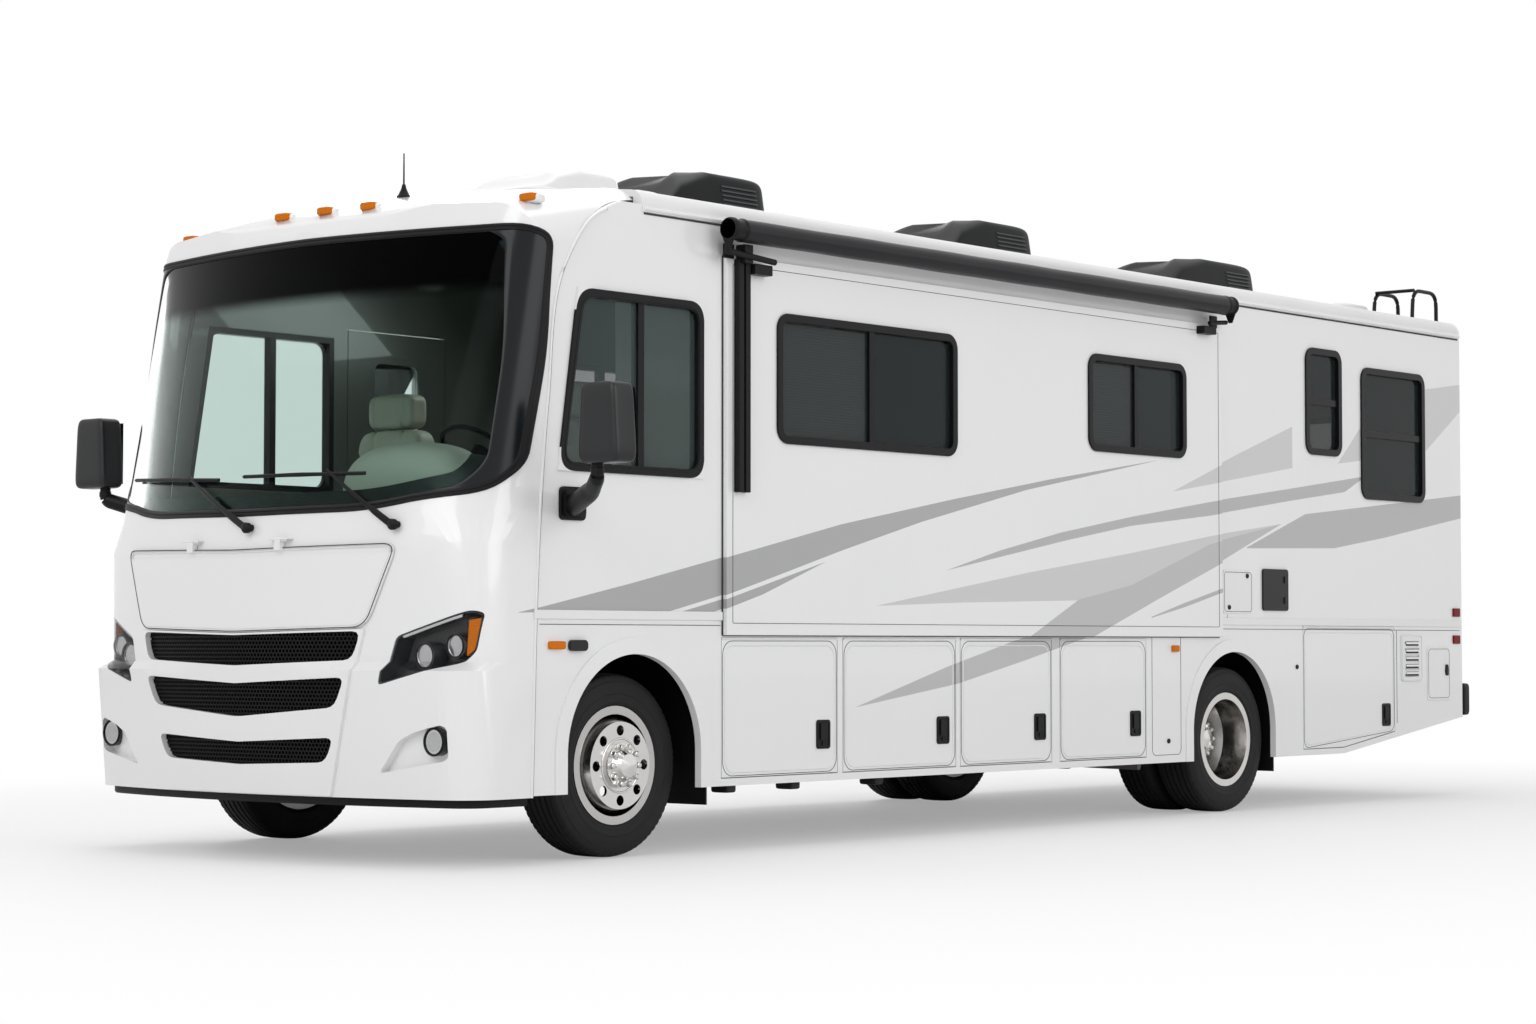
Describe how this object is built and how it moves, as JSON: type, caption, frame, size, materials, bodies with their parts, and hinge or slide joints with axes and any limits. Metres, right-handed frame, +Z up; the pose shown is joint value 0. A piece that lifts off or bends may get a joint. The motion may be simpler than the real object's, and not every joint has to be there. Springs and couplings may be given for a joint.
{
  "type": "motorhome",
  "caption": "Flat-fronted motorhome with slide-out room, hinged doors, steered front wheels and twin rear wheels.",
  "frame": {"origin": "middle of the whole vehicle on the ground, under the centre of its bounding box", "axes": "+Z up, -Y towards the front, +X towards the vehicle's left side"},
  "size_m": [3.768, 9.3823, 3.445],
  "materials": {
    "white_paint": "gloss",
    "black_plastic": "satin",
    "black_rubber": "satin",
    "clear_glass": "clear",
    "dark_glass": "tinted",
    "lamp_glass": "clear",
    "amber_lens": "gloss",
    "red_lens": "gloss",
    "black_metal": "satin",
    "white_metal": "satin",
    "dark_steel": "matte",
    "grey_iron": "matte",
    "brushed_metal": "brushed",
    "light_metal": "satin",
    "floor_cover": "satin",
    "grey_plastic": "satin",
    "beige_leather": "satin",
    "tyre": "matte",
    "polished_metal": "polished"
  },
  "bodies": {
    "coach": {"front_cap": "white_paint", "left_wall": "white_paint", "right_wall": "white_paint", "skirts": "white_paint", "roof": "white_paint", "rear_cap": "white_paint", "trim_mouldings": "white_paint", "roof_fittings": "white_paint", "window_frames": "black_plastic", "grilles": "black_plastic", "headlamps": "black_plastic", "wipers": "black_plastic", "mirrors": "black_plastic", "air_conditioners": "black_plastic", "rear_bumper": "black_plastic", "wheel_liners": "black_plastic", "windscreen_gasket": "black_rubber", "windscreen": "clear_glass", "window_panes": "dark_glass", "lamp_lenses": "lamp_glass", "marker_lamps": "amber_lens", "tail_lamps": "red_lens", "patio_awning": "white_metal", "front_axle": "dark_steel", "rear_axle": "dark_steel", "chassis_frame": "dark_steel", "engine": "grey_iron", "exhaust": "brushed_metal", "fuel_tank": "dark_steel", "basement": "light_metal", "floor": "floor_cover", "dashboard": "grey_plastic", "cab_seats": "beige_leather", "ladder": "black_metal"},
    "slide_out": {"slide_room": "white_paint", "slide_window_frames": "black_plastic", "slide_window_panes": "dark_glass", "slide_awning": "black_metal"},
    "left_steering": {"left_knuckle": "dark_steel"},
    "right_steering": {"right_knuckle": "dark_steel"},
    "steering_wheel": {"steering_wheel": "grey_plastic"},
    "hood": {"hood_panel": "white_paint"},
    "entry": {"entry_door": "white_paint", "entry_door_pane": "dark_glass"},
    "front_left_wheel": {"front_left_tyre": "tyre", "front_left_rim": "polished_metal"},
    "front_right_wheel": {"front_right_tyre": "tyre", "front_right_rim": "polished_metal"},
    "rear_left_wheels": {"rear_left_tyres": "tyre", "rear_left_rims": "polished_metal"},
    "rear_right_wheels": {"rear_right_tyres": "tyre", "rear_right_rims": "polished_metal"},
    "left_bay_1": {"left_bay_door_1": "white_paint"},
    "left_bay_2": {"left_bay_door_2": "white_paint"},
    "left_bay_3": {"left_bay_door_3": "white_paint"},
    "left_bay_4": {"left_bay_door_4": "white_paint"},
    "right_bay_1": {"right_bay_door_1": "white_paint"},
    "right_bay_2": {"right_bay_door_2": "white_paint"},
    "right_bay_3": {"right_bay_door_3": "white_paint"},
    "rear_bay": {"rear_bay_door": "white_paint"}
  },
  "joints": [
    {"name": "slide_out_travel", "type": "slide", "parent": "coach", "child": "slide_out", "axis": [1, 0, 0], "range_m": [0, 0.65]},
    {"name": "left_bay_door_1_hinge", "type": "hinge", "parent": "coach", "child": "left_bay_1", "pos_m": [1.296, -2.3665, 1.002], "axis": [0, -1, 0], "range_deg": [0, 90]},
    {"name": "left_bay_door_2_hinge", "type": "hinge", "parent": "coach", "child": "left_bay_2", "pos_m": [1.296, -1.4205, 1.002], "axis": [0, -1, 0], "range_deg": [0, 90]},
    {"name": "left_bay_door_3_hinge", "type": "hinge", "parent": "coach", "child": "left_bay_3", "pos_m": [1.296, -0.503, 1.002], "axis": [0, -1, 0], "range_deg": [0, 90]},
    {"name": "left_bay_door_4_hinge", "type": "hinge", "parent": "coach", "child": "left_bay_4", "pos_m": [1.296, 0.4075, 1.002], "axis": [0, -1, 0], "range_deg": [0, 90]},
    {"name": "right_bay_door_1_hinge", "type": "hinge", "parent": "coach", "child": "right_bay_1", "pos_m": [-1.296, -1.58, 1.002], "axis": [0, 1, 0], "range_deg": [0, 90]},
    {"name": "right_bay_door_2_hinge", "type": "hinge", "parent": "coach", "child": "right_bay_2", "pos_m": [-1.296, -0.575, 1.002], "axis": [0, 1, 0], "range_deg": [0, 90]},
    {"name": "right_bay_door_3_hinge", "type": "hinge", "parent": "coach", "child": "right_bay_3", "pos_m": [-1.296, 0.425, 1.002], "axis": [0, 1, 0], "range_deg": [0, 90]},
    {"name": "rear_bay_door_hinge", "type": "hinge", "parent": "coach", "child": "rear_bay", "pos_m": [1.296, 3.104, 1.08], "axis": [0, -1, 0], "range_deg": [0, 90]},
    {"name": "entry_door_hinge", "type": "hinge", "parent": "coach", "child": "entry", "pos_m": [-1.3, -2.85, 1.5], "axis": [0, 0, 1], "range_deg": [0, 100]},
    {"name": "hood_hinge", "type": "hinge", "parent": "coach", "child": "hood", "pos_m": [0, -4.682, 1.446], "axis": [-1, 0, 0], "range_deg": [0, 50]},
    {"name": "left_steer", "type": "hinge", "parent": "coach", "child": "left_steering", "pos_m": [0.89, -3.42, 0.422], "axis": [0, 0, 1], "range_deg": [-35, 35]},
    {"name": "right_steer", "type": "hinge", "parent": "coach", "child": "right_steering", "pos_m": [-0.89, -3.42, 0.422], "axis": [0, 0, 1], "range_deg": [-35, 35]},
    {"name": "steering_wheel_turn", "type": "hinge", "parent": "coach", "child": "steering_wheel", "pos_m": [0.6, -3.7, 1.85], "axis": [0, 0.6157, 0.788], "range_deg": [-525, 525]},
    {"name": "front_left_wheel_spin", "type": "hinge", "parent": "left_steering", "child": "front_left_wheel", "pos_m": [1.0715, -3.42, 0.422], "axis": [1, 0, 0], "continuous": true},
    {"name": "rear_left_wheel_spin", "type": "hinge", "parent": "coach", "child": "rear_left_wheels", "pos_m": [0.982, 1.76, 0.422], "axis": [1, 0, 0], "continuous": true},
    {"name": "front_right_wheel_spin", "type": "hinge", "parent": "right_steering", "child": "front_right_wheel", "pos_m": [-1.0715, -3.42, 0.422], "axis": [1, 0, 0], "continuous": true},
    {"name": "rear_right_wheel_spin", "type": "hinge", "parent": "coach", "child": "rear_right_wheels", "pos_m": [-0.982, 1.76, 0.422], "axis": [1, 0, 0], "continuous": true}
  ],
  "couplings": [
    {"joint": "right_steer", "follows": "left_steer", "ratio": 1},
    {"joint": "steering_wheel_turn", "follows": "left_steer", "ratio": 15}
  ]
}
